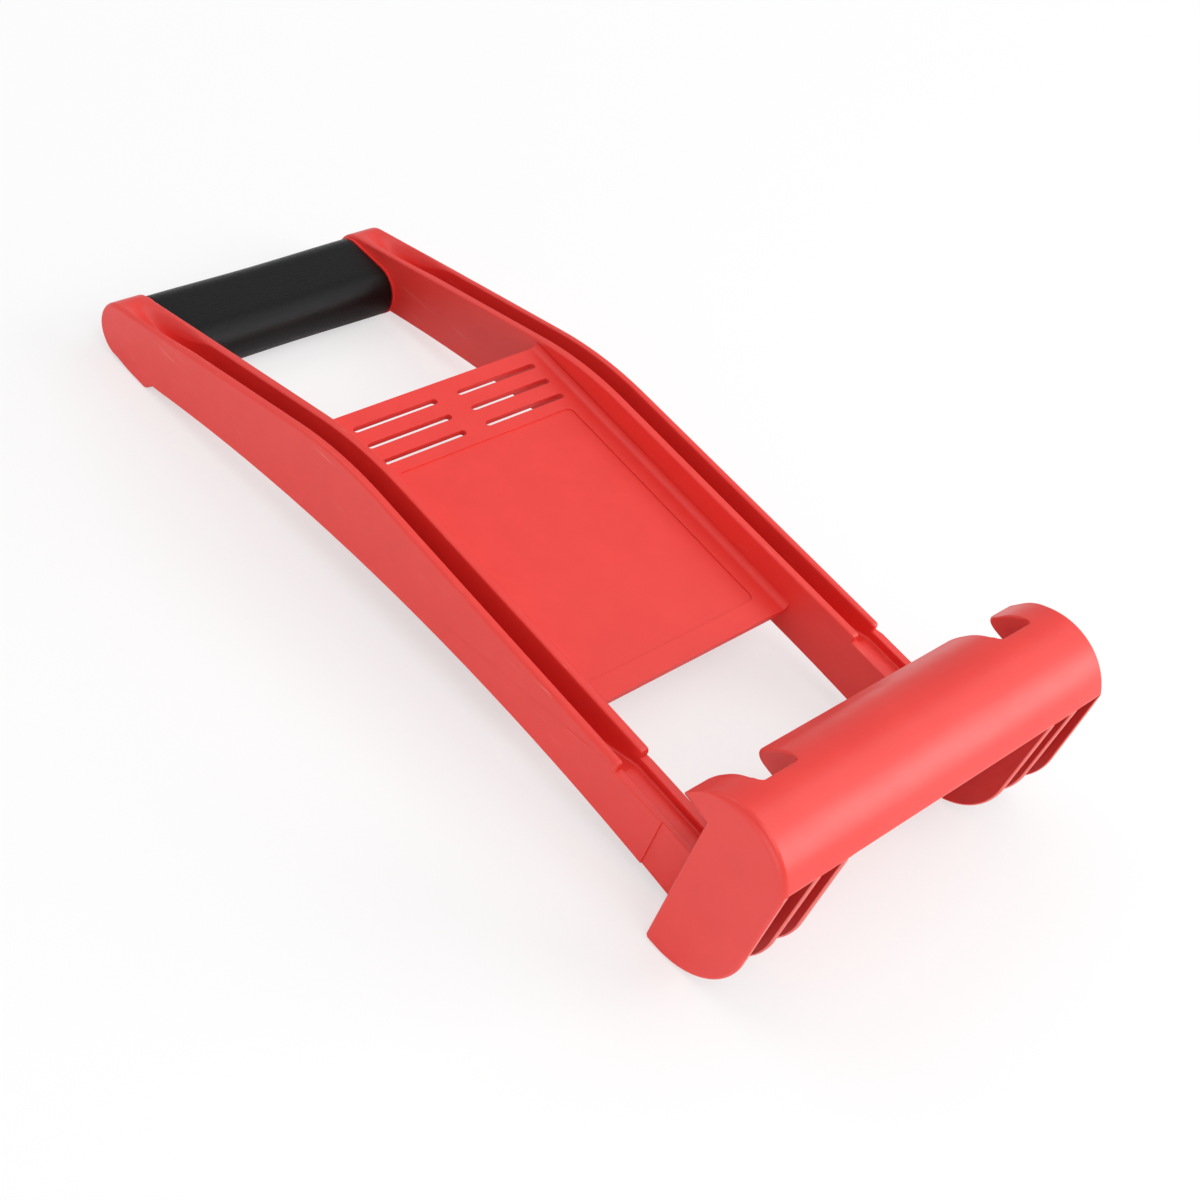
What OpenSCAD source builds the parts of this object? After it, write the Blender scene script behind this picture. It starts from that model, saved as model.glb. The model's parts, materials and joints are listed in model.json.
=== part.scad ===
// Panel carrier: a bowed two-rail carrying frame with a hand grip at one end
// and a hooked toe, open to the rails, that takes the lower edge of a board.
// It lies as it is put down, on the feet of the hook and the heels of the handle.
// Side outlines are drawn as [y, z] with y = 0 at the bend of the rails.

/* [Overall] */
// Width of the hook across both cheeks
hook_w = 145; // [132:1:170]
// Width across the outer faces of the two rails
rails_w = 118.6; // [108:0.2:126]

/* [Rails] */
// Width of one rail
rail_w = 13.7; // [12:0.1:18]
// Thickness of each side wall of a rail
wall_t = 3; // [2:0.1:4]
// Thickness of the web that closes the channel of a rail
web_t = 3; // [2:0.1:4]
// Distance along the ground from the bend to the handle end
handle_reach = 130.7; // [120:0.1:140]
// Distance along the rail from the bend to the panel seat
seat_reach = 177; // [165:0.5:200]
// Fall of the hook half of the rails, in degrees
hook_fall = 6.15; // [5:0.05:8]
// Radius of the bend along the top of the rails
bend_r = 140; // [80:5:180]
// Radius of the arch under the rails
arch_r = 750; // [650:10:900]
// Height of the arch above the ground
arch_h = 15.5; // [12:0.1:17]
// Distance of the arch's crown from the bend, towards the hook
arch_shift = 35; // [25:0.1:45]
// Drop of the rail tops where the panel enters the hook
step_drop = 2.6; // [1:0.1:4]
// Distance of that drop from the panel seat
step_to_seat = 38.3; // [32:0.1:50]
// Depth of the shallow channel beside the hook, under the rail's top line
shelf_depth = 6; // [5:0.2:9]
// Length of the web's climb from the arch up to the shallow channel
shelf_run = 42; // [30:1:55]
// Distance of the moulding seam on the outer walls from the panel seat
seam_to_seat = 18; // [10:1:28]
// Depth to which the outer walls are set back beyond the seam
seam_depth = 0.5; // [0.3:0.1:0.9]

/* [Handle] */
// Radius of the rounded handle ends
nose_r = 10.5; // [10.4:0.1:11.5]
// Height of the rounded handle ends above the ground
nose_lift = 1.1; // [1:0.1:1.6]
// Length of the flat heel under each handle end
heel_len = 9; // [6:0.5:11]
// Distance of the heel from the centre of the rounded end
heel_back = 9.6; // [8:0.1:10.5]
// Length of the ramp from the heel up to the arch
heel_run = 4.4; // [2:0.2:7]
// Distance from the rounded end to the start of the channel
channel_lead = 11; // [6:0.5:18]
// Length of the ramp at the start of the channel
channel_run = 26; // [15:1:35]
// Radius of the rounded sides of the grip
grip_r = 9.7; // [8.8:0.1:9.7]
// Distance between the centres of the rounded sides of the grip
grip_span = 16.1; // [12:0.1:17]
// Forward dip of the grip, in degrees
grip_dip = 2.8; // [0:0.1:2.9]
// Distance of the grip's axis behind the centre of the rounded end
grip_back = 0.3; // [0:0.1:0.5]
// Distance of the grip's axis below the centre of the rounded end
grip_drop = 0.8; // [0.3:0.1:0.8]
// Thickness of the grip sleeve
sleeve_t = 3; // [2:0.1:4.5]
// Thickness of the collars at both ends of the sleeve
collar_t = 1.2; // [1:0.1:3]
// Height of the collars above the sleeve
collar_rise = 0.2; // [0.1:0.05:0.25]

/* [Plate] */
// Length of the plate between the rails
plate_len = 133.4; // [120:0.2:140]
// Thickness of the plate
plate_t = 2.4; // [1.8:0.1:4]
// Distance of the plate's upper edge from the bend, towards the handle
plate_lead = 21.1; // [10:0.1:30]
// Distance of the plate's upper edge below the bend's height
plate_drop = 7.6; // [6.2:0.1:12]
// Fall of the plate, in degrees
plate_fall = 7; // [6:0.1:8]
// Radius of the hollow between the plate and the rails
plate_fillet_r = 2.5; // [1:0.1:4]
// Length of one slot
slot_len = 35; // [25:0.5:37]
// Width of one slot
slot_w = 2.3; // [1.5:0.1:3.5]
// Distance between rows of slots
slot_pitch = 7.95; // [6:0.05:9]
// Distance between the middles of the two columns of slots
slot_columns = 44; // [40:0.5:46]
// Distance of the first row from the plate's upper edge
slot_lead = 7.2; // [5:0.1:9]
// Width of the recessed label field
label_w = 76; // [60:1:80]
// Length of the recessed label field
label_len = 96; // [70:1:98]
// Distance of the label field from the plate's upper edge
label_lead = 29; // [28:0.5:33]
// Depth of the label field
label_depth = 0.6; // [0.3:0.1:1]
// Corner radius of the label field
label_r = 2.5; // [1:0.1:6]

/* [Hook] */
// Outer radius of the half-round toe
toe_r = 20.7; // [20.2:0.1:21.2]
// Distance of the toe's axis in front of the panel seat
toe_u = 10.4; // [9.8:0.1:11.4]
// Height of the toe's axis above the rail's top line
toe_v = 23.9; // [22.5:0.1:24.8]
// Thickness of the toe's skin
skin_t = 2.8; // [2:0.1:4]
// Clear height of the throat, from the rail's top line to the lip
throat_h = 29.5; // [28.8:0.1:34]
// Height of the toe's front rim above the rail's top line
rim_v = 31.4; // [29.8:0.1:32.5]
// Reach of the lip over the panel
lip_reach = 9.9; // [9.2:0.1:11.5]
// Opening angle of the lip, in degrees
lip_angle = 8.6; // [2:0.2:10]
// Corner radius of the lip beside the notches, seen from above
lip_corner_r = 3; // [1:0.1:5]
// Clearance of the notches beside the rails
notch_gap = 1; // [0.2:0.1:2]
// Corner radius at the back of the notches
notch_corner_r = 2; // [0.5:0.1:4]
// Thickness of the wall that carries the panel's edge
seat_t = 2.7; // [2:0.1:4]
// Thickness of the end cheeks
cheek_t = 2; // [1.5:0.1:4]
// Thickness of the ribs under the toe
fin_t = 2; // [1.4:0.1:2.6]
// Distance of the ribs from the faces of the rails
fin_inset = 0.2; // [0.1:0.1:1.2]
// Distance by which the soles of the ribs are set back from those of the cheeks
fin_set = 0.6; // [0.3:0.1:4]
// Radius of the rounded feet
foot_r = 24.9; // [22:0.1:26]
// Distance of the feet's axis in front of the panel seat
foot_u = 4.2; // [3.5:0.1:5]
// Distance of the feet's axis below the rail's top line
foot_v = 1.2; // [0.4:0.1:3]
// Corner radius of the feet at the panel seat
foot_corner_r = 1.5; // [1:0.1:4]

/* [Hidden] */
$fn = 96;

red = "#EA4A42";
black = "#242627";

// Overrun of every cut past the solid that it cuts
over = 5;
// Reach of the drawing zones beyond the object
far = hook_w;
// Steps along the small and the long rounded stretches of an outline
arc_steps = 16;
arch_steps = 24;
// Angle past straight down at which the handle end meets its heel
nose_under = 5;
// Number of rows of slots
slot_rows = 3;

channel_w = rail_w - 2 * wall_t;
grip_len = rails_w - 2 * rail_w;
sleeve_len = grip_len - 2 * collar_t;

// The hook is drawn square to the rails: u runs forwards from the seat, v upwards from the rail's top line
function arc(c, r, a0, a1, n) =
    [for (i = [0:n]) c + r * [cos(a0 + (a1 - a0) * i / n), sin(a0 + (a1 - a0) * i / n)]];
rim_u = toe_u + sqrt(pow(toe_r, 2) - pow(rim_v - toe_v, 2));
// The bend is as high as it must be for the feet to stand on the ground
bend_h = foot_r + (seat_reach + foot_u) * sin(hook_fall) + foot_v * cos(hook_fall);
seat_y = -seat_reach * cos(hook_fall);
seat_z = bend_h - seat_reach * sin(hook_fall);
function hook_pt(u, v) = [
    seat_y - u * cos(hook_fall) - v * sin(hook_fall),
    seat_z - u * sin(hook_fall) + v * cos(hook_fall)
];
front_y = hook_pt(rim_u, rim_v)[0];
// Shift that puts the middle of the length at the origin
mid_y = -(handle_reach + front_y) / 2;

// The handle half falls from the bend so that its top line is tangent to the rounded end
bend = [0, bend_h];
nose = [handle_reach - nose_r, nose_r + nose_lift];
handle_fall = -atan2(nose[1] - bend_h, nose[0]) - asin(nose_r / norm(nose - bend));
handle_len = sqrt(pow(norm(nose - bend), 2) - pow(nose_r, 2));
function handle_pt(s, v) =
    bend + s * [cos(handle_fall), -sin(handle_fall)] + v * [sin(handle_fall), cos(handle_fall)];
bend_run = bend_r * tan((handle_fall + hook_fall) / 2);
bend_centre = handle_pt(bend_run, -bend_r);

// The arch under the rails, as a circle
arch_centre = [-arch_shift, arch_h - arch_r];
function arch_angle(y) = acos((y - arch_centre[0]) / arch_r);
seat_from_arch = hook_pt(0, 0) - arch_centre;
seat_rise = seat_from_arch * [-sin(hook_fall), cos(hook_fall)];
rail_end_v = sqrt(pow(seat_rise, 2) - pow(norm(seat_from_arch), 2) + pow(arch_r, 2)) - seat_rise;
rail_end = hook_pt(0, rail_end_v) - arch_centre;
heel_front = nose[0] - heel_back - heel_len;
heel_top = heel_front - heel_run;
shelf_start_y = hook_pt(-step_to_seat - shelf_run, 0)[0];
channel_start = handle_len - channel_lead;
channel_floor_y = handle_pt(channel_start - channel_run, 0)[0];

// Spread of a side outline over the width from x0 to x1
module slab(x0, x1) {
    translate([x0, mid_y, 0])
        rotate([90, 0, 90])
            linear_extrude(x1 - x0)
                children();
}

// The same for an outline drawn as [-u, v] in the frame of the hook
module hook_slab(x0, x1) {
    translate([x0, mid_y + seat_y, seat_z])
        rotate([hook_fall, 0, 0])
            rotate([90, 0, 90])
                linear_extrude(x1 - x0)
                    children();
}

// Side outline of a rail: arch, heel, rounded handle end, bend, step and seat
module rail_outline() {
    polygon(concat(
        arc(arch_centre, arch_r, atan2(rail_end[1], rail_end[0]), arch_angle(heel_top), arch_steps),
        [[heel_front, 0], [heel_front + heel_len, 0]],
        arc(nose, nose_r, -90 - nose_under, 90 - handle_fall, arc_steps),
        arc(bend_centre, bend_r, 90 - handle_fall, 90 + hook_fall, arc_steps),
        [hook_pt(-step_to_seat, 0), hook_pt(-step_to_seat, -step_drop), hook_pt(0, -step_drop)]
    ));
}

// Side outline of the channel that is open to the panel
module channel_outline() {
    polygon(concat(
        [handle_pt(channel_start, far), handle_pt(channel_start, 0)],
        arc(arch_centre, arch_r + web_t, arch_angle(channel_floor_y), arch_angle(shelf_start_y), arch_steps),
        [hook_pt(-step_to_seat, -shelf_depth), hook_pt(over, -shelf_depth), hook_pt(over, far)]
    ));
}

// Side outline of the pocket that is open to the ground, under the climbing web
module pocket_outline() {
    polygon([
        arch_centre + arch_r * [cos(arch_angle(shelf_start_y)), sin(arch_angle(shelf_start_y))],
        hook_pt(-step_to_seat, -shelf_depth - web_t),
        hook_pt(over, -shelf_depth - web_t),
        hook_pt(over, -far),
        [shelf_start_y, -far]
    ]);
}

// Side outline of the stretch beyond the seam
module seam_outline() {
    polygon([
        hook_pt(-seam_to_seat, far),
        hook_pt(over, far),
        hook_pt(over, -far),
        hook_pt(-seam_to_seat, -far)
    ]);
}

// Right-hand rail
module rail() {
    outer = rails_w / 2;
    inner = outer - rail_w;
    difference() {
        slab(inner, outer)
            rail_outline();
        slab(inner + wall_t, outer - wall_t)
            channel_outline();
        slab(inner + wall_t, outer - wall_t)
            pocket_outline();
        slab(outer - seam_depth, outer + over)
            seam_outline();
    }
}

// Flat outline with two rounded ends, along x
module slot_outline(length, width) {
    run = length - width;
    square([run, width], center = true);
    for (side = [-1, 1])
        translate([side * run / 2, 0])
            circle(d = width);
}

// Rectangle with rounded corners
module field_outline(width, length, r) {
    square([width - 2 * r, length], center = true);
    square([width, length - 2 * r], center = true);
    for (i = [-1, 1])
        for (j = [-1, 1])
            translate([i * (width / 2 - r), j * (length / 2 - r)])
                circle(r);
}

// Cross-section of the plate, with the hollows that lead into the rails
module plate_section() {
    half = grip_len / 2;
    centre = [half - plate_fillet_r, plate_fillet_r];
    right = arc(centre, plate_fillet_r, 0, -90, arc_steps / 2);
    left = [for (i = [len(right) - 1:-1:0]) [-right[i][0], right[i][1]]];
    polygon(concat([[-half, -plate_t], [half, -plate_t]], right, left));
}

// Frame of the plate: y along it from its upper edge, z out of its face
module on_plate() {
    translate([0, mid_y + plate_lead, bend_h - plate_drop])
        rotate([plate_fall, 0, 0])
            children();
}

module web_plate() {
    color(red)
        on_plate()
            difference() {
                rotate([90, 0, 0])
                    linear_extrude(plate_len)
                        plate_section();
                for (row = [0:slot_rows - 1])
                    for (side = [-1, 1])
                        translate([side * slot_columns / 2, -slot_lead - row * slot_pitch, -plate_t - over])
                            linear_extrude(plate_t + 2 * over)
                                slot_outline(slot_len, slot_w);
                translate([0, -label_lead - label_len / 2, -label_depth])
                    linear_extrude(over)
                        field_outline(label_w, label_len, label_r);
            }
}

// Section of the grip with side radius r: flat above and below, round in front and behind
module grip_section(r) {
    translate(nose + [grip_back, -grip_drop])
        rotate(grip_dip) {
            circle(r);
            translate([-grip_span, 0])
                circle(r);
            translate([-grip_span, -r])
                square([grip_span, 2 * r]);
        }
}

module handle_bar() {
    color(red) {
        slab(-grip_len / 2, grip_len / 2)
            grip_section(grip_r - sleeve_t);
        for (x = [-grip_len / 2, grip_len / 2 - collar_t])
            slab(x, x + collar_t)
                grip_section(grip_r + collar_rise);
    }
}

module grip_sleeve() {
    color(black)
        slab(-sleeve_len / 2, sleeve_len / 2)
            difference() {
                grip_section(grip_r);
                grip_section(grip_r - sleeve_t);
            }
}

// Side of a foot from the seat to the front rim: rounded corner, rounded sole, straight front
sole = [-foot_u, -foot_v];
corner_drop = sqrt(pow(foot_r - foot_corner_r, 2) - pow(foot_u - foot_corner_r, 2));
corner = [-foot_corner_r, -foot_v - corner_drop];
corner_end = atan2(corner[1] - sole[1], corner[0] - sole[0]);
foot_side = concat(
    arc(corner, foot_corner_r, 0, corner_end, arc_steps / 2),
    arc(sole, foot_r, corner_end, -180, arch_steps),
    [[-rim_u, rim_v]]
);
// Sole of a rib, set back from the cheeks, and its straight front up to the rim
fin_r = foot_r - fin_set;
fin_side = concat(arc(sole, fin_r, -acos(foot_u / fin_r), -180, arch_steps), [[-rim_u, rim_v]]);
// Underside of the lip, from its tip to the seat; its top is tangent to the toe
lip_tip = [lip_reach, throat_h + lip_reach * tan(lip_angle)];
lip_side = [lip_tip, [0, throat_h]];
toe_axis = [-toe_u, toe_v];
tip_ray = lip_tip - toe_axis;
crown_angle = atan2(tip_ray[1], tip_ray[0]) + acos(toe_r / norm(tip_ray));
crown = [cos(crown_angle), sin(crown_angle)];
// Zone corners far beyond the rim and the crown, in line with the toe's axis
beyond_rim = toe_axis + ([-rim_u, rim_v] - toe_axis) * far / toe_r;
beyond_crown = toe_axis + crown * far;
crown_side = [[-far, far], beyond_crown, toe_axis + crown * toe_r];

// Outline of a foot with the seat above it
module foot_outline() {
    polygon(concat([[0, throat_h]], foot_side, [[-seat_t, rim_v], [-seat_t, throat_h]]));
}

module toe_disc(r) {
    translate(toe_axis)
        circle(r);
}

// Zone of the toe and the lip, above the top of the seat and the front rim
module toe_zone() {
    seat_side = [[-seat_t, throat_h], [-seat_t, rim_v], [-rim_u, rim_v], beyond_rim];
    polygon(concat(lip_side, seat_side, crown_side));
}

// Zone of an end cheek
module cheek_zone() {
    polygon(concat(lip_side, foot_side, [beyond_rim], crown_side));
}

// What is cut from both zones to round the toe, from the rim to where the lip begins
module toe_trim() {
    difference() {
        polygon([toe_axis, beyond_rim, [-far, far], beyond_crown]);
        toe_disc(toe_r);
    }
}

// Zone in front of the seat wall
module inside_zone() {
    translate([-far, -far])
        square([far - seat_t, 2 * far]);
}

// Zone above the front rim
module above_rim_zone() {
    translate([-far, rim_v])
        square([2 * far, far]);
}

// Notch in the lip from x0 to x1, seen from above: rounded at the back, flared at the lip's edge
module notch_outline(x0, x1) {
    back = -seat_t + notch_corner_r;
    flare = lip_reach - lip_corner_r;
    polygon(concat(
        arc([x0 + notch_corner_r, back], notch_corner_r, 180, 270, arc_steps / 2),
        arc([x1 - notch_corner_r, back], notch_corner_r, 270, 360, arc_steps / 2),
        arc([x1 + lip_corner_r, flare], lip_corner_r, 180, 90, arc_steps / 2),
        [[x1 + lip_corner_r, lip_reach + over], [x0 - lip_corner_r, lip_reach + over]],
        arc([x0 - lip_corner_r, flare], lip_corner_r, 90, 0, arc_steps / 2)
    ));
}

// The same, square to the rails and from below the lip upwards
module notch(x0, x1) {
    translate([0, mid_y + seat_y, seat_z])
        rotate([hook_fall, 0, 0])
            translate([0, 0, throat_h - over])
                linear_extrude(far)
                    notch_outline(x0, x1);
}

module hook_shell() {
    half = hook_w / 2 - cheek_t;
    notch_in = rails_w / 2 - rail_w - notch_gap;
    notch_out = rails_w / 2 + notch_gap;
    color(red)
        difference() {
            hook_slab(-half, half)
                difference() {
                    toe_zone();
                    toe_trim();
                    intersection() {
                        toe_disc(toe_r - skin_t);
                        inside_zone();
                    }
                }
            notch(notch_in, notch_out);
            notch(-notch_out, -notch_in);
        }
}

module panel_seat() {
    half = hook_w / 2 - cheek_t;
    color(red)
        hook_slab(-half, half)
            difference() {
                foot_outline();
                inside_zone();
            }
}

module cheek() {
    hook_slab(hook_w / 2 - cheek_t, hook_w / 2)
        difference() {
            cheek_zone();
            toe_trim();
        }
}

// Rib between the seat wall and the toe's skin, from x0 outwards
module fin(x0) {
    hook_slab(x0, x0 + fin_t)
        intersection() {
            inside_zone();
            union() {
                polygon(concat([[0, rim_v]], fin_side));
                intersection() {
                    toe_disc(toe_r - skin_t);
                    above_rim_zone();
                }
            }
        }
}

module outer_fin() {
    fin(rails_w / 2 - fin_inset - fin_t);
}

module inner_fin() {
    fin(rails_w / 2 - rail_w + fin_inset);
}

module right_rail() {
    color(red)
        rail();
}

module left_rail() {
    color(red)
        mirror([1, 0, 0])
            rail();
}

module right_cheek() {
    color(red)
        cheek();
}

module left_cheek() {
    color(red)
        mirror([1, 0, 0])
            cheek();
}

module right_outer_fin() {
    color(red)
        outer_fin();
}

module right_inner_fin() {
    color(red)
        inner_fin();
}

module left_outer_fin() {
    color(red)
        mirror([1, 0, 0])
            outer_fin();
}

module left_inner_fin() {
    color(red)
        mirror([1, 0, 0])
            inner_fin();
}

left_rail();
right_rail();
web_plate();
handle_bar();
grip_sleeve();
panel_seat();
hook_shell();
left_cheek();
right_cheek();
left_outer_fin();
left_inner_fin();
right_inner_fin();
right_outer_fin();
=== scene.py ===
"""The looks of the panel carrier: moulded red body, black rubber grip, pale studio."""

import json
import math

import bmesh
import bpy
from mathutils import Matrix, Vector


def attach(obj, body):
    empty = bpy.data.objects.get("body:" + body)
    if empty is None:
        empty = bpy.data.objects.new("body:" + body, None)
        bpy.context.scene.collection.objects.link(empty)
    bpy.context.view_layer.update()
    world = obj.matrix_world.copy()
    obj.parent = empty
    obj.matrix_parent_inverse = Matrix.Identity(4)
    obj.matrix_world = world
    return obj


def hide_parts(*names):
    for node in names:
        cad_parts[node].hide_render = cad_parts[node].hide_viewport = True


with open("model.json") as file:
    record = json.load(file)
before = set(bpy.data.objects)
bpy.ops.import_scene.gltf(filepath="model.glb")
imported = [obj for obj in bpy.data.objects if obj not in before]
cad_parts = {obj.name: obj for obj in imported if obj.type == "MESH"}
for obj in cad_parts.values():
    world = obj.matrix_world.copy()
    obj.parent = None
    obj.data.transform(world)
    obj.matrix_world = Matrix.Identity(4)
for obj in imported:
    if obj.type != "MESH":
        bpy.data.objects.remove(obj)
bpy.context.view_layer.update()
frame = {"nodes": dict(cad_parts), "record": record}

MM = 0.001
nodes = frame["nodes"]

# Sizes of the CAD model that the looks need, in mm. CHEEK_OUT is a hair short of the CAD face,
# so that the visual model's box stays inside the CAD model's.
RAIL_IN, RAIL_OUT = 45.6, 59.3
SHELL_END, CHEEK_OUT = 70.5, 72.499
THROAT = 29.5
TOE_U, TOE_V, TOE_R = 10.4, 23.9, 20.69

# The hook's own axes: u forward from the seat, v up along it
throat = next(m for m in frame["record"]["mounts"] if m["name"] == "panel_throat")
BACK = Vector(throat["axis"])
UP = Vector((0, -BACK.z, BACK.y))
SEAT = Vector(throat["pos_m"]) / MM - UP * THROAT / 2


def hook_uv(p):
    """A point in mm as (u, v) of the hook."""
    d = p - SEAT
    return -d.dot(BACK), d.dot(UP)


def side_uv(p):
    """A (y, z) point in mm as (u, v) of the hook."""
    return hook_uv(Vector((0, p.x, p.y)))


def hook_point(u, v):
    """The point in mm at (u, v) of the hook, in the middle of its width."""
    return SEAT - BACK * u + UP * v


def hook_yz(u, v):
    """The same point as (y, z)."""
    q = hook_point(u, v)
    return Vector((q.y, q.z))


def smooth(a, b, t):
    """0 at a, 1 at b, with a soft start and end."""
    s = min(1.0, max(0.0, (t - a) / (b - a)))
    return s * s * (3 - 2 * s)


def take_mesh(bm, name):
    """Mesh data made from an edited mesh, which is freed."""
    mesh = bpy.data.meshes.new(name)
    bm.to_mesh(mesh)
    bm.free()
    return mesh


def new_object(name, mesh, node):
    """A piece of the carrier that stands for the CAD nodes in the list node."""
    obj = bpy.data.objects.new(name, mesh)
    bpy.context.scene.collection.objects.link(obj)
    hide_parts(*node)
    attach(obj, "root")
    return obj


# Widths of rounded edges in mm: outer top of a rail, its other wall tops, its handle end, top of a cheek
BEAD = 1.45
CREST = 0.7
NOSE = 1.6
TOE = 3.0
# Widths on the copied nodes, and the width that stands for a bevel weight of 1
RIB_EDGE = 0.6
SEAT_EDGE = 0.4
PLATE_EDGE = 0.18
WIDEST = 3.0
# Where those edges are rounded, in mm: front and foot of a rib, foot of the seat, clear of the rails
FRONT_U = 12.0
RIB_FOOT_V = -20.0
SEAT_FOOT_Z = 10.0
PLATE_JOINT = 0.2
# Material indexes: rounded edges painted paler, partly wear and partly painted highlight, and the inside
# of the hook painted darker as painted shade
WEAR_AND_HIGHLIGHT = 1
PAINTED_SHADE = 2
# Least sideways share in the normal of a side face
SIDE_FACE = 0.9
# Angles in degrees: between faces of one flat, at a corner, and at an edge that stays sharp
COPY_FLAT, OUTLINE_FLAT = 0.3, 0.1
CORNER = 20.0
COPY_SHARP, LOFT_SHARP = 40.0, 38.0
NORMAL_WEIGHT = 80
# Points nearer than this, in metres, are one
SAME_POINT = 2e-6


def rib_width(p, at_side):
    u, v = hook_uv(p)
    return RIB_EDGE if u > FRONT_U or v < RIB_FOOT_V else 0


def seat_width(p, at_side):
    return SEAT_EDGE if p.z < SEAT_FOOT_Z and not at_side else 0


def plate_width(p, at_side):
    return 0 if abs(p.x) > RAIL_IN - PLATE_JOINT else PLATE_EDGE


def cad_copy(node, flat):
    """An editable copy of a CAD node, with faces less than flat degrees apart made one."""
    bm = bmesh.new()
    bm.from_mesh(nodes[node].data)
    bmesh.ops.remove_doubles(bm, verts=bm.verts, dist=SAME_POINT)
    limit = math.radians(flat)
    bmesh.ops.dissolve_limit(bm, angle_limit=limit, verts=bm.verts, edges=bm.edges)
    return bm


def even_shading(obj, sharp):
    """Splits edges over sharp degrees and evens the normals of the rest."""
    split = obj.modifiers.new("sharp", "EDGE_SPLIT")
    split.split_angle = math.radians(sharp)
    split.use_edge_sharp = False
    even = obj.modifiers.new("normals", "WEIGHTED_NORMAL")
    even.weight = NORMAL_WEIGHT


def moulded(name, node, rule, segments, rib=False):
    """A copy of a CAD node with rounded edges. A rib's rounded edges are painted paler, partly wear and
    partly painted highlight, and its sides are painted darker as painted shade.

    The rule gives the width of an edge from its middle in mm and whether a side face meets it.
    """
    bm = cad_copy(node, COPY_FLAT)
    weight = bm.edges.layers.float.new("bevel_weight_edge")
    for f in bm.faces:
        f.smooth = True
        # A rib's side faces take the darker red: painted shade between the ribs
        if rib and abs(f.normal.x) > SIDE_FACE:
            f.material_index = PAINTED_SHADE
    for e in bm.edges:
        if len(e.link_faces) != 2 or not e.is_convex:
            continue
        if e.calc_face_angle() < math.radians(CORNER):
            continue
        middle = (e.verts[0].co + e.verts[1].co) / 2 / MM
        at_side = any(abs(f.normal.x) > SIDE_FACE for f in e.link_faces)
        e[weight] = rule(middle, at_side) / WIDEST
    obj = new_object(name, take_mesh(bm, name), [node])
    bevel = obj.modifiers.new("rounding", "BEVEL")
    bevel.limit_method = "WEIGHT"
    bevel.width = WIDEST * MM
    bevel.segments = segments
    bevel.use_clamp_overlap = False
    bevel.miter_outer = "MITER_SHARP"
    # A rib's rounded edges take the paler red: partly wear, partly painted highlight
    bevel.material = WEAR_AND_HIGHLIGHT if rib else -1
    even_shading(obj, COPY_SHARP)
    return obj


# Rails and cheeks are drawn afresh over the side outline of their CAD nodes.
# The face with the outline looks straight sideways and lies this close to its plane, in mm.
STRAIGHT_SIDE = 0.99
IN_PLANE = 0.05


def cad_outline(node, x):
    """The side outline of a CAD node in the plane |x|, as (y, z) in mm, anticlockwise."""
    bm = cad_copy(node, OUTLINE_FLAT)
    sides = [f for f in bm.faces if abs(f.normal.x) > STRAIGHT_SIDE]
    flat = [f for f in sides if abs(abs(f.verts[0].co.x) / MM - x) < IN_PLANE]
    face = max(flat, key=lambda f: f.calc_area())
    points = [Vector((v.co.y, v.co.z)) / MM for v in face.verts]
    bm.free()
    turn = sum(p.x * q.y - q.x * p.y for p, q in zip(points, points[1:] + points[:1]))
    return points if turn > 0 else points[::-1]


def refine(points, step):
    """The closed outline with no stretch longer than step."""
    out = []
    for p, q in zip(points, points[1:] + points[:1]):
        n = max(1, math.ceil((q - p).length / step))
        out += [p.lerp(q, k / n) for k in range(n)]
    return out


def inward(points):
    """For each point of the closed outline, the way in that keeps an even distance from both sides."""
    out = []
    for i, p in enumerate(points):
        t1 = (p - points[i - 1]).normalized()
        t2 = (points[(i + 1) % len(points)] - p).normalized()
        n1, n2 = Vector((-t1.y, t1.x)), Vector((-t2.y, t2.x))
        out.append((n1 + n2) / (1 + n1.dot(n2)))
    return out


def bend(a, p, b, n):
    """A curve from a to b that touches both lines to the corner p."""
    return [a.lerp(p, k / n).lerp(p.lerp(b, k / n), k / n) for k in range(n + 1)]


def round_corner(points, i, r, n=5):
    """The outline with corner i replaced by n + 1 points of a curve that starts and ends r from it."""
    p = points[i]
    a = p + (points[i - 1] - p).normalized() * r
    b = p + (points[(i + 1) % len(points)] - p).normalized() * r
    return points[:i] + bend(a, p, b, n) + points[i + 1:]


# Steps of a rounded edge
ARC = 6


def edge_arc(p, way_in, x, side, width, across=None):
    """From the side face at x round to the band, as points in mm; side is +1 where the face looks to +x.

    The rounding takes this width of the side face and as much, or across, of the band.
    """
    across = width if across is None else across
    out = []
    for k in range(ARC + 1):
        a = math.pi / 2 * (1 - k / ARC)
        q = p + way_in * (width * (1 - math.cos(a)))
        out.append(Vector((x - side * across * (1 - math.sin(a)), q.x, q.y)))
    return out


def join_rows(bm, a, b):
    """Quads between two open rows of vertices."""
    for k in range(len(a) - 1):
        bm.faces.new((a[k], a[k + 1], b[k + 1], b[k]))


def join_rings(bm, a, b):
    """Quads between two closed rings of vertices, listed from the first vertex on."""
    quads = zip(a, a[1:] + a[:1], b[1:] + b[:1], b)
    return [bm.faces.new(quad) for quad in quads]


def add_faces(bm, rows, sign):
    """Rows of points in mm become rows of vertices, joined by quads."""
    made = [[bm.verts.new(Vector((sign * q.x, q.y, q.z)) * MM) for q in row] for row in rows]
    for a, b in zip(made, made[1:]):
        join_rows(bm, a, b)
    return made


def finish_loft(bm, name, node):
    """The red piece made from a mesh that was drawn afresh."""
    bmesh.ops.recalc_face_normals(bm, faces=bm.faces)
    for f in bm.faces:
        f.smooth = True
    obj = new_object(name, take_mesh(bm, name), [node])
    even_shading(obj, LOFT_SHARP)
    return obj


# Room for rounding errors where two lines cross
TINY = 1e-9
SLACK = 1e-6


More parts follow.
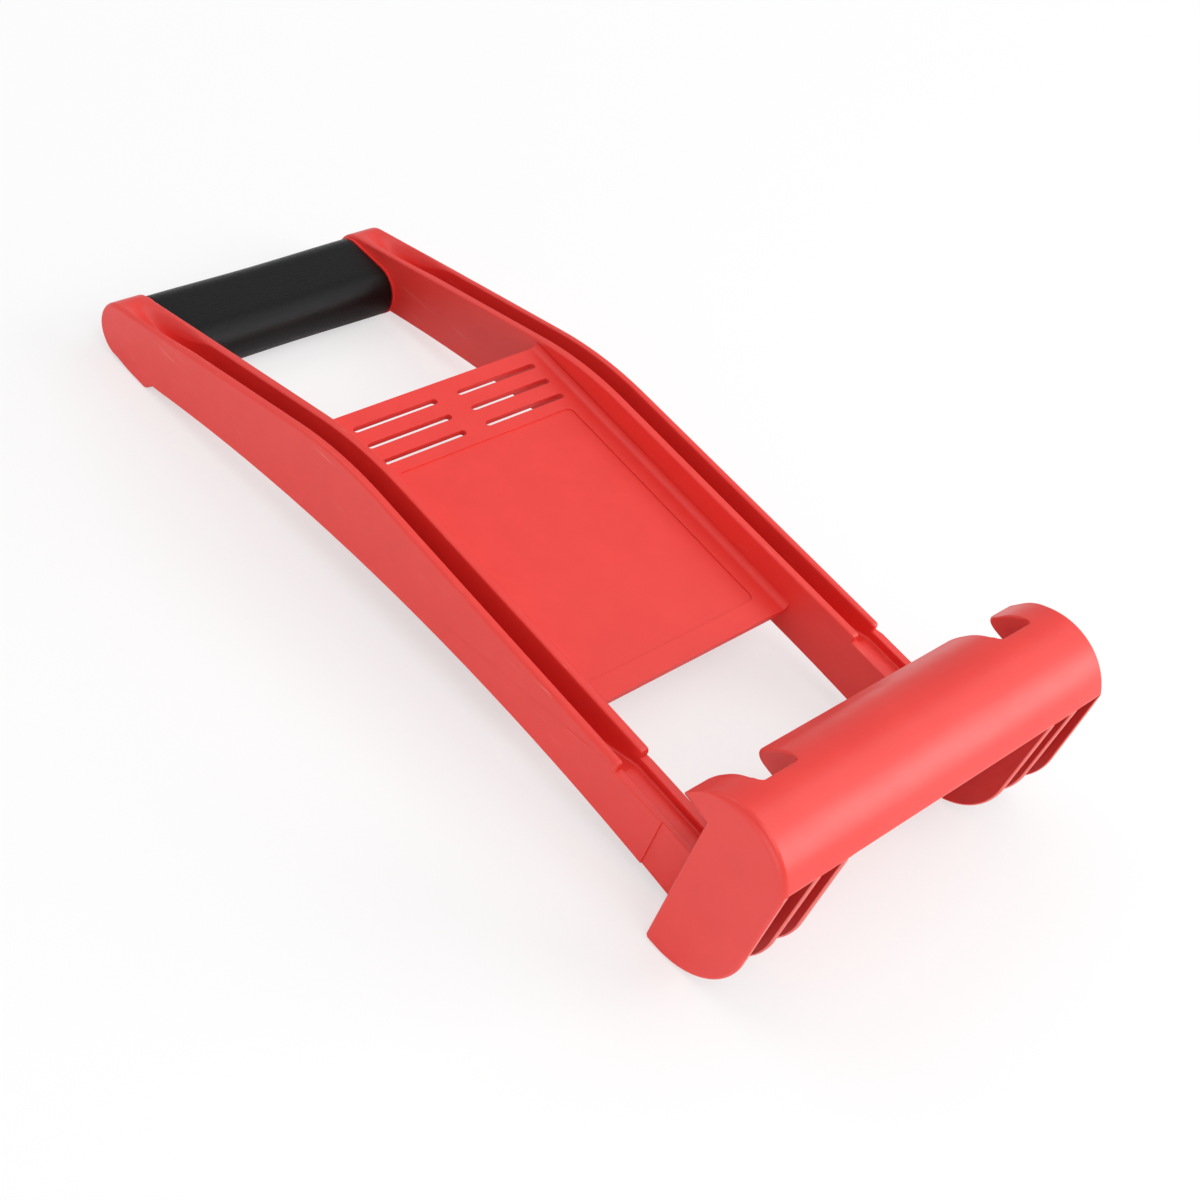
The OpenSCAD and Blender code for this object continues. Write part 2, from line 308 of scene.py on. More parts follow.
def floor_depth(p, way, line):
    """How far from p along way the polyline lies, or 0."""
    for a, b in zip(line, line[1:]):
        d = b - a
        det = way.x * -d.y + way.y * d.x
        if abs(det) < TINY:
            continue
        r = a - p
        t = (r.x * -d.y + r.y * d.x) / det
        k = (way.x * r.y - way.y * r.x) / det
        if t > 0 and -SLACK <= k <= 1 + SLACK:
            return t
    return 0.0


# Lines of the rail that the side outline doesn't hold, in mm, with angles in radians
BEND_Y, BEND_RUN = 39.084, 25.0
HANDLE_FALL = math.radians(10.93)
HOOK_FALL = math.atan2(BACK.z, BACK.y)
ARCH = Vector((4.084, -734.5))
ARCH_R = 750.0
WALL = 3.0
WEB = 3.0
STEP_U = -38.3
STEP_DROP = 2.6
SHELF = 6.0
SHELF_RUN = 42.0
PAST_SEAT = 1.0
SEAM_U = -18.0
SEAM = 0.5
CHANNEL_END = 161.0
CHANNEL_RUN = 48.0
FLOOR_STEPS = 50
# A point of the band belongs to the underside this close above the arch, or this low beyond the heel's y
UNDERSIDE = 3.0
HEEL_Y, HEEL_TOP = 130.0, 5.6
# From the heel's y on, edges grow to the widths of the solid end, which they reach here
NOSE_Y = 149.0
# Above this height over the arch, and the inner face a little later, the walls lean in by these shares
LEAN_FROM, INNER_LEAN_LATER = 15.0, 3.0
OUTER_LEAN, INNER_LEAN = 0.045, 0.03
# Edge widths: of the underside, added at the heel, and of the pocket and the low stretch past the step
UNDER_EDGE = 0.7
HEEL_EDGE = 1.0
THIN_EDGE = 0.4
PAST_STEP = 0.3
# The channel's depth grows from its start by this power. Its roundings take no more than these shares.
RISE_POWER = 1.1
FILLET = 0.8
FILLET_STEPS = 3
CREST_SHARE, FILLET_SHARE = 0.5, 0.4
# At its start the channel is a scoop, which turns square between these depths. The scoop's points end
# at this share of the way to the middle, and it keeps a margin from the rounded edges.
SCOOP_DEPTH, SQUARE_DEPTH = 6, 18
SCOOP_SHARE = 0.92
SCOOP_MARGIN = 0.05


def arch_at(y, r):
    """The point at y on the arch of radius r under the rails."""
    return Vector((y, ARCH.y + math.sqrt(r * r - (y - ARCH.x) ** 2)))


shelf_y = hook_yz(STEP_U - SHELF_RUN, 0).x
floor_ys = [CHANNEL_END + (shelf_y - CHANNEL_END) * k / FLOOR_STEPS for k in range(FLOOR_STEPS + 1)]
FLOOR = [arch_at(y, ARCH_R + WEB) for y in floor_ys]
FLOOR += [hook_yz(STEP_U, -SHELF), hook_yz(PAST_SEAT, -SHELF)]
POCKET = [arch_at(shelf_y, ARCH_R), hook_yz(STEP_U, -SHELF - WEB), hook_yz(PAST_SEAT, -SHELF - WEB)]


def rail_profile(p, way_in, u):
    """One cross-section of a rail, from its outer face over the band to its inner face, in mm."""
    above = p.y - arch_at(p.x, ARCH_R).y
    low = above < UNDERSIDE or p.y < HEEL_TOP and p.x > HEEL_Y
    nose = p.x > CHANNEL_END - CHANNEL_RUN and not low
    tall = max(0.0, above - LEAN_FROM)
    out = RAIL_OUT - (SEAM if u > SEAM_U else 0) - OUTER_LEAN * tall
    into = RAIL_IN + INNER_LEAN * max(0.0, tall - INNER_LEAN_LATER)
    solid = smooth(HEEL_Y, NOSE_Y, p.x)
    if low:
        w_out, w_in, w_crest = UNDER_EDGE + HEEL_EDGE * solid, UNDER_EDGE, THIN_EDGE
        way, line = Vector((0, 1)), POCKET
    else:
        w_out, w_in, w_crest = BEAD + (NOSE - BEAD) * solid, CREST, CREST
        if u > STEP_U + PAST_STEP:
            w_out = w_in = w_crest = THIN_EDGE
        handle = smooth(BEND_Y - BEND_RUN, BEND_Y + BEND_RUN, p.x)
        fall = HOOK_FALL - (HOOK_FALL + HANDLE_FALL) * handle
        way, line = Vector((math.sin(fall), -math.cos(fall))), FLOOR
    deep = floor_depth(p, way, line)
    if nose:
        deep *= max(0.0, (CHANNEL_END - p.x) / CHANNEL_RUN) ** RISE_POWER
    # Half of the channel, from the outer wall's crest down to the floor
    wall_x = RAIL_OUT - WALL
    crest = min(w_crest, deep * CREST_SHARE)
    across = edge_arc(p, way_in, wall_x - INNER_LEAN * tall, -1, crest)[::-1]
    fillet = min(FILLET, deep * FILLET_SHARE)
    bottom = p + way * deep
    for k in range(FILLET_STEPS + 1):
        a = math.pi / 2 * k / FILLET_STEPS
        q = bottom - way * (fillet * (1 - math.sin(a)))
        across.append(Vector((wall_x - fillet * (1 - math.cos(a)), q.x, q.y)))
    mirror = RAIL_OUT + RAIL_IN
    if nose:
        square = smooth(SCOOP_DEPTH, SQUARE_DEPTH, deep)
        wide = min(out - w_out, mirror - into - w_in) - SCOOP_MARGIN
        for k, q in enumerate(across):
            s = SCOOP_SHARE * k / (len(across) - 1)
            scoop = p + way * (deep * (s + smooth(0, 1, s)) / 2)
            side = Vector((wide + (mirror / 2 - wide) * s, scoop.x, scoop.y))
            across[k] = side.lerp(q, square)
    points = edge_arc(p, way_in, out, 1, w_out) + across
    points += [Vector((mirror - q.x, q.y, q.z)) for q in reversed(across)]
    points += reversed(edge_arc(p, way_in, into, -1, w_in))
    return points


# Roundings of the rail's outline and distances between its stations, in mm
STEP_R = 1.6
HEEL_FRONT_R, HEEL_BACK_R = 1.0, 2.6
RAIL_STATION = 2.5
SEAM_GAP = 0.03
# The step's corner is the highest point when each mm away from it costs this much height
STEP_SEARCH = 3
ON_GROUND = 0.01
# A point with a larger u lies on the seat end
AT_SEAT = -0.05


def rail_outline(node):
    """The side outline of a rail as (y, z) in mm, with rounded corners at the step and the heel."""
    line = cad_outline(node, RAIL_IN)
    step_y = hook_yz(STEP_U, 0).x
    step = max(range(len(line)), key=lambda i: line[i].y - STEP_SEARCH * abs(line[i].x - step_y))
    line = round_corner(line, step, STEP_R)
    heel = [i for i, p in enumerate(line) if p.y < ON_GROUND and p.x > HEEL_Y]
    heel.sort(key=lambda i: line[i].x)
    # The later corner goes first, so that the number of the other one holds
    for i, r in sorted(((heel[0], HEEL_FRONT_R), (heel[-1], HEEL_BACK_R)), reverse=True):
        line = round_corner(line, i, r)
    return refine(line, RAIL_STATION)


def rail_band(node):
    """The outline without the seat end, from that end's lower corner round to its upper one."""
    line = rail_outline(node)
    end = [i for i, p in enumerate(line) if side_uv(p)[0] > AT_SEAT]
    start = min(end, key=lambda i: line[i].y)
    line = line[start:] + line[:start]
    line = line[:1] + [p for p in line[1:] if side_uv(p)[0] < AT_SEAT]
    line.append(hook_yz(0, -STEP_DROP))
    # Two close stations on either side of the seam, above and below
    out = []
    for p, q in zip(line, line[1:]):
        out.append(p)
        up, uq = side_uv(p)[0], side_uv(q)[0]
        if (up - SEAM_U) * (uq - SEAM_U) < 0:
            k = (SEAM_U - up) / (uq - up)
            gap = SEAM_GAP / abs(uq - up)
            out += [p.lerp(q, k - gap), p.lerp(q, k + gap)]
    return out + line[-1:]


def make_rail(name, node, sign):
    line = rail_band(node)
    us = [side_uv(p)[0] for p in line]
    ways_in = inward(line)
    # At both ends of the band the way in is square to it
    along = arch_at(line[0].x + 1, ARCH_R) - arch_at(line[0].x, ARCH_R)
    ways_in[0] = Vector((-along.y, along.x)).normalized()
    ways_in[-1] = Vector((math.sin(HOOK_FALL), -math.cos(HOOK_FALL)))
    bm = bmesh.new()
    rows = add_faces(bm, [rail_profile(*station) for station in zip(line, ways_in, us)], sign)
    # The outer side has two levels and a narrow face at the seam between them
    beyond = [u > SEAM_U for u in us]
    first = beyond.index(False)
    last = len(beyond) - 1 - beyond[::-1].index(False)
    bm.faces.new([r[0] for r in rows[first:last + 1]])
    bm.faces.new([r[0] for r in rows[last + 1:]] + [r[0] for r in rows[:first]])
    bm.faces.new((rows[last][0], rows[last + 1][0], rows[first - 1][0], rows[first][0]))
    bm.faces.new([r[-1] for r in rows])
    bm.faces.new(rows[-1] + rows[0][::-1])
    return finish_loft(bm, name, node)


# Sizes of the toe and its lip, in mm
LIP_LENGTH = 9.9
LIP_SLOPE = math.radians(8.6)
LIP_TIP = Vector((-LIP_LENGTH, THROAT + LIP_LENGTH * math.tan(LIP_SLOPE)))
LIP_REACH = 9.7
LIP_CORNER = 3.0
NOTCH_CLEAR = 1.0
NOTCH_IN, NOTCH_OUT = RAIL_IN - NOTCH_CLEAR, RAIL_OUT + NOTCH_CLEAR
NOTCH_CORNER = 2.0
NOTCH_EDGE = 0.9
RIM_V = 31.4
RIM_EDGE = 0.5
SEAT_T = 2.7
SKIN = 2.8
TOE_AXIS = Vector((TOE_U, TOE_V))

# Edges of a cheek in mm: at the back, in front below the toe, inside where it is free or meets a piece
CHEEK_BACK, CHEEK_FRONT = 0.5, 1.3
CHEEK_FREE, CHEEK_MET = 0.35, 0.02
CHEEK_TIP_R = 0.7
CHEEK_STATION = 2.0
# Where those edges change, in u and v, and where the inside is free
BACK_END, FRONT_START = -7, 6
TOE_START, TOE_FULL = THROAT - 4, THROAT + 6
FREE_TOP = 30.5
# The outermost part of a cheek's front isn't painted paler
PLAIN_OUTER_EDGE = 1.0


def cheek_width(u, v):
    """Rounding of a cheek's outer edge at (u, v)."""
    front = CHEEK_FRONT + (TOE - CHEEK_FRONT) * smooth(TOE_START, TOE_FULL, v)
    return CHEEK_BACK + (front - CHEEK_BACK) * smooth(BACK_END, FRONT_START, u)


def make_cheek(name, node, sign):
    line = cad_outline(node, CHEEK_OUT)
    us = [side_uv(p)[0] for p in line]
    line = refine(round_corner(line, us.index(min(us)), CHEEK_TIP_R), CHEEK_STATION)
    rows = []
    for p, way_in in zip(line, inward(line)):
        u, v = side_uv(p)
        inner = CHEEK_FREE if u > FRONT_START and v < FREE_TOP else CHEEK_MET
        outer = cheek_width(u, v)
        row = edge_arc(p, way_in, CHEEK_OUT, 1, outer, min(outer, CHEEK_OUT - SHELL_END - inner))
        row += reversed(edge_arc(p, way_in, SHELL_END, -1, inner))
        rows.append(row)
    bm = bmesh.new()
    rows = add_faces(bm, rows, sign)
    # The cheek's front below the rim takes the paler red: partly wear, partly painted highlight
    for f in bm.faces:
        q = f.calc_center_median() / MM
        u, v = hook_uv(q)
        if u > FRONT_U and v < RIM_V - RIM_EDGE and abs(q.x) < CHEEK_OUT - PLAIN_OUTER_EDGE:
            f.material_index = WEAR_AND_HIGHLIGHT
    join_rows(bm, rows[-1], rows[0])
    bm.faces.new([r[0] for r in rows])
    # The inner face takes the darker red: painted shade inside the hook
    bm.faces.new([r[-1] for r in rows]).material_index = PAINTED_SHADE
    return finish_loft(bm, name, node)


# Toe and lip are drawn afresh too: sections in the hook's own axes, strung along x.
# Steps of a section: round the toe, along the lip, kept of both, at the rim, tip, inside and underside
TOE_STEPS, LIP_STEPS = 200, 40
TOP_STEPS = 48
RIM_STEPS = 4
TIP_STEPS = 5
INNER_STEPS = 18
UNDER_STEPS = 4
# The lip's blunt tip: widest rounding in mm, and its largest share of the tip's height. The lower edge
# takes a share of that height and, for each mm of it, a share of the underside.
TIP_EDGE, TIP_SHARE = 0.7, 0.45
LOW_RISE, LOW_RUN, LOW_STEPS = 0.3, 0.03, 3
# The skin's edge in a notch, in mm: rounding at the notch's side, what is added, and over which run
SKIN_EDGE, SKIN_ADDED, SKIN_RUN = 0.1, 0.6, 1.5
# The skin's foot, in mm: on the seat this near to the notch's side, inside ahead of it, below the inside
FOOT_REACH = 1.6
FOOT_AHEAD = 0.3
FOOT_BELOW = 0.05
# Of the drop at a notch edge, the share by which the lip is also shorter
DROP_SHARE = 0.5
# Places of the sections, in mm: distances from the side of a notch, and about how far apart elsewhere
NEAR_EDGE = (0.0, 0.06, 0.2, 0.42, 0.7, 1.0, 1.4, 1.9, 2.5, 3.2)
TOE_STATION = 6


def quarter(r, d):
    """How far a rounded edge of radius r lies below its corner, at the distance d from it."""
    return r - math.sqrt(r * r - (r - d) ** 2) if d < r else 0.0


def toe_top(end_u, drop):
    """The upper line of the toe from the rim back to end_u, lowered by drop on the lip."""
    ray = LIP_TIP - TOE_AXIS
    first = math.asin((RIM_V - TOE_V) / TOE_R)
    last = math.atan2(ray.y, ray.x) - math.acos(TOE_R / ray.length)
    out = []
    for k in range(TOE_STEPS + LIP_STEPS + 1):
        turn = first + (last - first) * min(k, TOE_STEPS) / TOE_STEPS
        way = Vector((math.cos(turn), math.sin(turn)))
        p = (TOE_AXIS + way * TOE_R).lerp(LIP_TIP, max(0, k - TOE_STEPS) / LIP_STEPS)
        p -= way * drop * smooth(SEAT_T - NOTCH_CORNER, SEAT_T - 2 * NOTCH_CORNER, p.x)
        if p.x < end_u and k > TOE_STEPS / 2:
            q = out[-1]
            out.append(q.lerp(p, (q.x - end_u) / (q.x - p.x)))
            break
        out.append(p)
    return out


def resample(points, n, trim):
    """n + 1 evenly spaced points of an open line that ends trim short of its last point."""
    lengths = [0.0]
    for p, q in zip(points, points[1:]):
        lengths.append(lengths[-1] + (q - p).length)
    out = []
    i = 0
    for k in range(n + 1):
        want = (lengths[-1] - trim) * k / n
        while i < len(lengths) - 2 and lengths[i + 1] < want:
            i += 1
        share = (want - lengths[i]) / (lengths[i + 1] - lengths[i])
        out.append(points[i].lerp(points[i + 1], share))
    return out


def blunt_top(end_u, drop, r):
    """The upper line of the toe, rounded by r where it ends at end_u."""
    full = toe_top(end_u, drop)
    top = resample(full, TOP_STEPS, r)
    return top + bend(top[-1], full[-1], full[-1] - Vector((0, r)), TIP_STEPS)[1:]


def inner_arc(start_u):
    """The inside of the toe's skin, from start_u forward to the rim."""
    r = TOE_R - SKIN
    first = math.acos((start_u - TOE_U) / r)
    last = math.asin((RIM_V - TOE_V) / r)
    turns = [first + (last - first) * k / INNER_STEPS for k in range(INNER_STEPS + 1)]
    return [TOE_AXIS + Vector((math.cos(t), math.sin(t))) * r for t in turns]


def with_rim(outer, inner):
    """One closed section, with a rounded edge at the rim."""
    corner = outer[0]
    rim = bend(corner - Vector((RIM_EDGE, 0)), corner, corner.lerp(outer[1], RIM_EDGE), RIM_STEPS)
    return rim + outer[1:] + inner


def lip_section(reach, drop):
    """The toe with its lip, which reaches this far back over the throat."""
    low = Vector((-reach, THROAT + (LIP_TIP.y - THROAT) * reach / LIP_LENGTH))
    tall = toe_top(-reach, drop)[-1].y - low.y
    top = blunt_top(-reach, drop, min(TIP_EDGE, TIP_SHARE * tall))
    corner = Vector((0.0, THROAT))
    under = bend(low + Vector((0, LOW_RISE * tall)), low, low.lerp(corner, LOW_RUN * tall), LOW_STEPS)
    under += [low.lerp(corner, k / UNDER_STEPS) for k in range(1, UNDER_STEPS + 1)]
    return with_rim(top + under, [Vector((SEAT_T, THROAT))] + inner_arc(SEAT_T))


def notch_section(d):
    """The skin in a notch at the distance d from its side, where a fillet stands on the seat."""
    front = SEAT_T - quarter(NOTCH_CORNER, d)
    top = blunt_top(front, 0.0, SKIN_EDGE + SKIN_ADDED * smooth(0, SKIN_RUN, d))
    start = SEAT_T + FOOT_AHEAD
    inner = inner_arc(start)
    low = THROAT if d < FOOT_REACH else inner[0].y - FOOT_BELOW
    return with_rim(top + [Vector((front, low)), Vector((start, low))], inner)


def string_sections(bm, stations):
    """A closed body from sections at (x, outline) stations."""
    rows = []
    for x, line in stations:
        points = [hook_point(p.x, p.y) for p in line]
        rows.append([bm.verts.new(Vector((x, q.y, q.z)) * MM) for q in points])
    # The rim comes first in a section, the inside last
    for a, b in zip(rows, rows[1:]):
        faces = join_rings(bm, a, b)
        # Rim faces take the paler red, partly wear and partly painted highlight; the inside takes the
        # darker red of painted shade
        for face in faces[:RIM_STEPS]:
            face.material_index = WEAR_AND_HIGHLIGHT
        for face in faces[-INNER_STEPS - 2:-1]:
            face.material_index = PAINTED_SHADE
    bm.faces.new(rows[0])
    bm.faces.new(rows[-1][::-1])


def spread(a, b, fine_a, fine_b):
    """Places from a to b, close together near the ends that are asked for."""
    out = [a + d for d in (NEAR_EDGE if fine_a else NEAR_EDGE[:1])]
    tail = [b - d for d in (NEAR_EDGE if fine_b else NEAR_EDGE[:1])]
    n = max(1, round((tail[-1] - out[-1]) / TOE_STATION))
    return out + [out[-1] + (tail[-1] - out[-1]) * k / n for k in range(1, n)] + tail[::-1]


def make_toe():
    bm = bmesh.new()
    # Each stretch of the lip, and whether a notch borders its left and its right end
    lips = [
        (-SHELL_END, -NOTCH_OUT, False, True),
        (-NOTCH_IN, NOTCH_IN, True, True),
        (NOTCH_OUT, SHELL_END, True, False),
    ]
    for x0, x1, side0, side1 in lips:
        stations = []
        for x in spread(x0, x1, side0, side1):
            d = min(x - x0 if side0 else math.inf, x1 - x if side1 else math.inf)
            drop = quarter(NOTCH_EDGE, d)
            reach = LIP_REACH - quarter(LIP_CORNER, d) - DROP_SHARE * drop
            stations.append((x, lip_section(reach, drop)))
        string_sections(bm, stations)
    for x0, x1 in ((-NOTCH_OUT, -NOTCH_IN), (NOTCH_IN, NOTCH_OUT)):
        places = spread(x0, x1, True, True)
        string_sections(bm, [(x, notch_section(min(x - x0, x1 - x))) for x in places])
    return finish_loft(bm, "toe", "hook_shell")


body = [
    make_rail("rail_left", "left_rail", -1),
    make_rail("rail_right", "right_rail", 1),
    moulded("plate", "web_plate", plate_width, segments=2),
    moulded("seat", "panel_seat", seat_width, segments=3),
    make_toe(),
    make_cheek("cheek_left", "left_cheek", -1),
    make_cheek("cheek_right", "right_cheek", 1),
]
for place in ("left_outer", "left_inner", "right_inner", "right_outer"):
    body.append(moulded("rib_" + place, place + "_fin", rib_width, segments=3, rib=True))

# Grip: an oval sleeve on the bar, a little thinner in the middle, with soft ends. Sizes in mm.
GRIP_BACK = Vector((159.58, 10.80))
GRIP_FRONT = Vector((143.50, 10.01))
GRIP_HALF = 44.4
GRIP_R = 9.8
GRIP_BORE = 6.7
GRIP_WAIST = 0.35
GRIP_SOFT = 1.0
# Steps round each end of the oval, along its flats, over a soft end and along the sleeve
HALF_TURN = 28
FLAT = 8
SOFT_STEPS = 6
GRIP_STEPS = 40


def oval(r):
    """The section of the grip at the side radius r, as (y, z) in mm."""
    along = GRIP_BACK - GRIP_FRONT
    tilt = math.atan2(along.y, along.x)
    out = []
    for centre, turn in ((GRIP_BACK, tilt - math.pi / 2), (GRIP_FRONT, tilt + math.pi / 2)):
        turns = [turn + math.pi * k / HALF_TURN for k in range(HALF_TURN + 1)]
        out.append([centre + Vector((math.cos(a), math.sin(a))) * r for a in turns])
    back, front = out
    upper = [back[-1].lerp(front[0], k / FLAT) for k in range(1, FLAT)]
    lower = [front[-1].lerp(back[0], k / FLAT) for k in range(1, FLAT)]
    return back + upper + front + lower


def make_grip():
    straight = GRIP_HALF - GRIP_SOFT
    turns = [math.pi / 2 * k / SOFT_STEPS for k in range(SOFT_STEPS + 1)]
    ends = [straight + GRIP_SOFT * math.cos(a) for a in turns]
    stations = [-x for x in ends]
    stations += [straight * (2 * k / GRIP_STEPS - 1) for k in range(1, GRIP_STEPS)]
    stations += reversed(ends)
    sections = []
    for x in stations:
        inset = max(0.0, abs(x) - straight)
        soft = GRIP_SOFT - math.sqrt(max(0.0, GRIP_SOFT ** 2 - inset ** 2))
        waist = GRIP_WAIST * math.cos(x / GRIP_HALF * math.pi / 2) ** 2
        sections.append((x, GRIP_R - waist - soft))
    # The last two rings are the bore
    sections += [(GRIP_HALF, GRIP_BORE), (-GRIP_HALF, GRIP_BORE)]
    bm = bmesh.new()
    rings = [[bm.verts.new(Vector((x, p.x, p.y)) * MM) for p in oval(r)] for x, r in sections]
    for a, b in zip(rings, rings[1:] + rings[:1]):
        for face in join_rings(bm, a, b):
            face.smooth = True
    bmesh.ops.recalc_face_normals(bm, faces=bm.faces)
    return new_object("grip", take_mesh(bm, "grip"), ["grip_sleeve"])


grip = make_grip()
bar = nodes["handle_bar"]


# Materials. A Mix node's colour sockets share their names with others, so they go by number.
MIX_A, MIX_B, MIX_OUT = 6, 7, 2


def grey(value):
    return value, value, value, 1


BLACK, WHITE = grey(0), grey(1)


def material(name):
    mat = bpy.data.materials.new(name)
    mat.use_nodes = True
    tree = mat.node_tree
    tree.nodes.clear()
    out = tree.nodes.new("ShaderNodeOutputMaterial")
    return mat, tree, out


def surface(name, shine):
    """A material with one shader, and the object's own coordinates for its patterns."""
    mat, tree, out = material(name)
    coord = tree.nodes.new("ShaderNodeTexCoord").outputs["Object"]
    shader = tree.nodes.new("ShaderNodeBsdfPrincipled")
    shader.inputs["Specular IOR Level"].default_value = shine
    tree.links.new(shader.outputs["BSDF"], out.inputs["Surface"])
    return mat, tree, coord, shader


def noise(tree, coord, scale, detail, rough):
    n = tree.nodes.new("ShaderNodeTexNoise")
    n.inputs["Scale"].default_value = scale
    n.inputs["Detail"].default_value = detail
    n.inputs["Roughness"].default_value = rough
    tree.links.new(coord, n.inputs["Vector"])
    return n.outputs["Fac"]


def ramp(tree, value, low, high):
    """Colours from low to high, each a place and its colour."""
    r = tree.nodes.new("ShaderNodeValToRGB")
    for element, (place, colour) in zip(r.color_ramp.elements, (low, high)):
        element.position = place
        element.color = colour
    tree.links.new(value, r.inputs["Fac"])
    return r.outputs["Color"]


def bump(tree, height, distance, strength, normal=None):
    b = tree.nodes.new("ShaderNodeBump")
    b.inputs["Strength"].default_value = strength
    b.inputs["Distance"].default_value = distance
    tree.links.new(height, b.inputs["Height"])
    if normal is not None:
        tree.links.new(normal, b.inputs["Normal"])
    return b.outputs["Normal"]


def scuffs(tree, coord):
    """Faint strokes along the rails, 0 to about a third.

    They are the peaks of a drawn-out noise inside scattered patches.
    """
    drawn = tree.nodes.new("ShaderNodeMapping")
    drawn.inputs["Rotation"].default_value = (0.12, 0, 0.1)
    drawn.inputs["Scale"].default_value = (22.0, 1.0, 22.0)
    tree.links.new(coord, drawn.inputs["Vector"])
    stroke = noise(tree, drawn.outputs["Vector"], scale=45.0, detail=1.0, rough=0.5)
    patch = noise(tree, coord, scale=25.0, detail=1.0, rough=0.5)
    both = tree.nodes.new("ShaderNodeMath")
    both.operation = "MULTIPLY"
    tree.links.new(ramp(tree, stroke, (0.67, BLACK), (0.76, grey(0.32))), both.inputs[0])
    tree.links.new(ramp(tree, patch, (0.50, BLACK), (0.62, WHITE)), both.inputs[1])
    return both.outputs["Value"]


WORN_RED = (0.90, 0.28, 0.24, 1)


def red_plastic(name, dark, light, shine, scuffed=False):
    mat, tree, coord, shader = surface(name, shine)
    mottle = noise(tree, coord, scale=60.0, detail=3.0, rough=0.6)
    colour = ramp(tree, mottle, (0.30, dark), (0.70, light))
    if scuffed:
        worn = tree.nodes.new("ShaderNodeMix")
        worn.data_type = "RGBA"
        tree.links.new(scuffs(tree, coord), worn.inputs[0])
        tree.links.new(colour, worn.inputs[MIX_A])
        worn.inputs[MIX_B].default_value = WORN_RED
        colour = worn.outputs[MIX_OUT]
    tree.links.new(colour, shader.inputs["Base Color"])
    sheen = noise(tree, coord, scale=140.0, detail=4.0, rough=0.6)
    gloss = ramp(tree, sheen, (0.30, grey(0.36)), (0.70, grey(0.43)))
    tree.links.new(gloss, shader.inputs["Roughness"])
    grain = noise(tree, coord, scale=2200.0, detail=2.0, rough=0.6)
    wave = noise(tree, coord, scale=90.0, detail=2.0, rough=0.5)
    slow = bump(tree, wave, distance=0.0002, strength=0.12)
    fine = bump(tree, grain, distance=0.00004, strength=0.5, normal=slow)
    tree.links.new(fine, shader.inputs["Normal"])
    return mat


def black_rubber():
    mat, tree, coord, shader = surface("grip_rubber", shine=0.22)
    spots = noise(tree, coord, scale=1300.0, detail=3.0, rough=0.65)
    tint = ramp(tree, spots, (0.35, (0.002, 0.0023, 0.0026, 1)), (0.70, (0.007, 0.0074, 0.0078, 1)))
    tree.links.new(tint, shader.inputs["Base Color"])
    gloss = ramp(tree, spots, (0.35, grey(0.30)), (0.70, grey(0.44)))
    tree.links.new(gloss, shader.inputs["Roughness"])
    pebble = bump(tree, spots, distance=0.00025, strength=0.8)
    tree.links.new(pebble, shader.inputs["Normal"])
    return mat


RED_DARK, RED_LIGHT = (0.79, 0.040, 0.032, 1), (0.83, 0.045, 0.036, 1)
RED_SHINE = 0.55

red = red_plastic("moulded_red", RED_DARK, RED_LIGHT, RED_SHINE)
scuffed = red_plastic("scuffed_red", RED_DARK, RED_LIGHT, RED_SHINE, scuffed=True)
# Paler red for rounded edges: partly wear, partly painted highlight
wear_and_highlight = red_plastic("wear_and_highlight_red", (0.88, 0.15, 0.12, 1), (0.92, 0.20, 0.17, 1), shine=0.6)
# Darker red for the hook's inner faces: painted shade in its hollows
inside = red_plastic("painted_shade_red", (0.50, 0.020, 0.017, 1), (0.55, 0.025, 0.021, 1), shine=0.3)
black = black_rubber()
# The first material is the one of most faces, the second the paler red of the edges, partly wear and
# partly painted highlight, the third the darker red of painted shade
for obj in body:
    for mat in (scuffed if obj.name.startswith("rail") else red, wear_and_highlight, inside):
        obj.data.materials.append(mat)
bar.data.materials.clear()
bar.data.materials.append(red)
grip.data.materials.append(black)


# Studio: a pale floor, white behind it, broad soft lights
FLOOR_SIZE = 4.0
FLOOR_PALE = grey(0.95)
# White share of the floor at these distances from the middle, in metres
FLOOR_NEAR, FLOOR_FAR = (0.25, grey(0.6)), (0.75, WHITE)
WORLD_LIGHT = 0.48


def for_camera(tree, others, seen, out):
    """Shows the shader seen to the camera's rays, and the shader others to all other rays."""
    path = tree.nodes.new("ShaderNodeLightPath")
    mix = tree.nodes.new("ShaderNodeMixShader")
    tree.links.new(path.outputs["Is Camera Ray"], mix.inputs["Fac"])
    tree.links.new(others, mix.inputs[1])
    tree.links.new(seen, mix.inputs[2])
    tree.links.new(mix.outputs["Shader"], out.inputs["Surface"])


